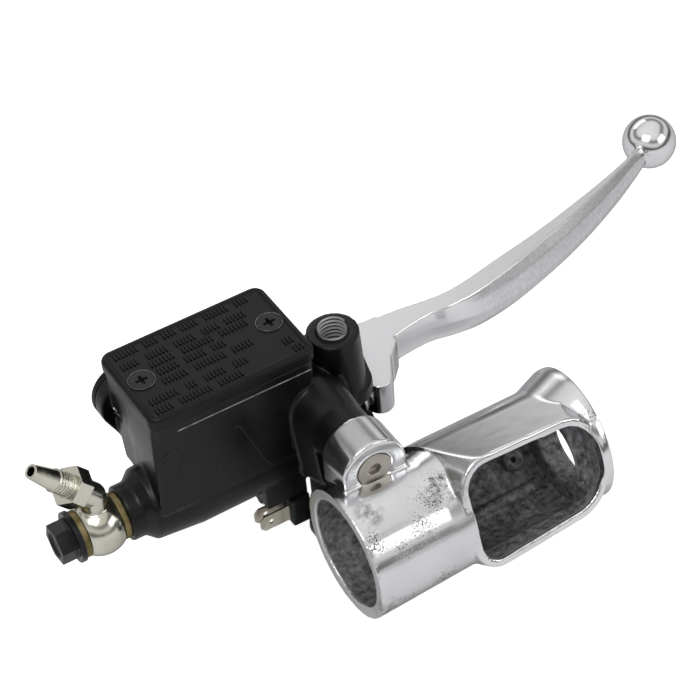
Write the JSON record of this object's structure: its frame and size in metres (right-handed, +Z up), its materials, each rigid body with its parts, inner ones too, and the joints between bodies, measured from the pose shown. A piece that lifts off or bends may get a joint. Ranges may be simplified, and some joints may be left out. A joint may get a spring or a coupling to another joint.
{
  "type": "front brake master cylinder",
  "caption": "Handlebar brake master cylinder: rectangular fluid reservoir, lever with ball end, banjo hose fitting, mirror boss, and a polished tubular housing with a switch window.",
  "frame": {"origin": "centre of the handlebar bore at the housing's inboard face", "axes": "+X outboard along the handlebar, +Y forward away from the rider, +Z up, square to the reservoir cap"},
  "size_m": [0.2803, 0.1381, 0.087],
  "materials": {
    "black_casting": "gloss",
    "black_moulding": "matte",
    "black_rubber": "matte",
    "black_screws": "satin",
    "black_steel": "satin",
    "plain_plate": "satin",
    "stainless": "satin",
    "clear_lens": "gloss",
    "washer_copper": "satin",
    "zinc_plate": "gloss",
    "polished_lever": "polished",
    "polished_housing": "polished",
    "bronze": "satin",
    "titanium_grey": "satin",
    "tinned_brass": "satin"
  },
  "bodies": {
    "master": {"cylinder_body": "black_casting", "reservoir_cap": "black_moulding", "cap_plate": "plain_plate", "diaphragm": "black_rubber", "cap_screws": "black_screws", "port_shield": "stainless", "sight_glass_bezel": "black_moulding", "sight_glass_lens": "clear_lens", "sight_glass_seal": "black_rubber", "banjo_bolt": "black_steel", "inner_washer": "washer_copper", "outer_washer": "washer_copper", "banjo_fitting": "zinc_plate", "hose_nipple": "zinc_plate", "return_spring": "stainless", "stop_washer": "stainless", "snap_ring": "black_steel", "dust_boot": "black_rubber", "pivot_bolt": "zinc_plate", "pivot_nut": "zinc_plate", "handlebar_housing": "polished_housing", "housing_screws": "titanium_grey", "switch_case": "black_moulding", "switch_terminals": "tinned_brass", "switch_screw": "stainless"},
    "lever_arm": {"lever": "polished_lever", "pivot_bush": "bronze"},
    "piston_set": {"piston": "plain_plate", "primary_cup": "black_rubber", "secondary_cup": "black_rubber"},
    "plunger": {"switch_plunger": "black_moulding"}
  },
  "joints": [
    {"name": "lever_pivot", "type": "hinge", "parent": "master", "child": "lever_arm", "pos_m": [0.036, 0.068, 0.0098], "axis": [0, 0, -1], "range_deg": [0, 20], "stiffness_Nm_per_rad": 0.8, "springref_deg": -20.05},
    {"name": "piston_slide", "type": "slide", "parent": "master", "child": "piston_set", "axis": [-1, 0, 0], "range_m": [0, 0.0076], "deforming": ["return_spring", "dust_boot"]},
    {"name": "switch_plunge", "type": "slide", "parent": "master", "child": "plunger", "axis": [-1, 0, 0], "range_m": [0, 0.0048]}
  ],
  "couplings": [
    {"joint": "piston_slide", "follows": "lever_pivot", "m_per_rad": 0.0208},
    {"joint": "switch_plunge", "follows": "lever_pivot", "m_per_rad": 0.0125}
  ]
}
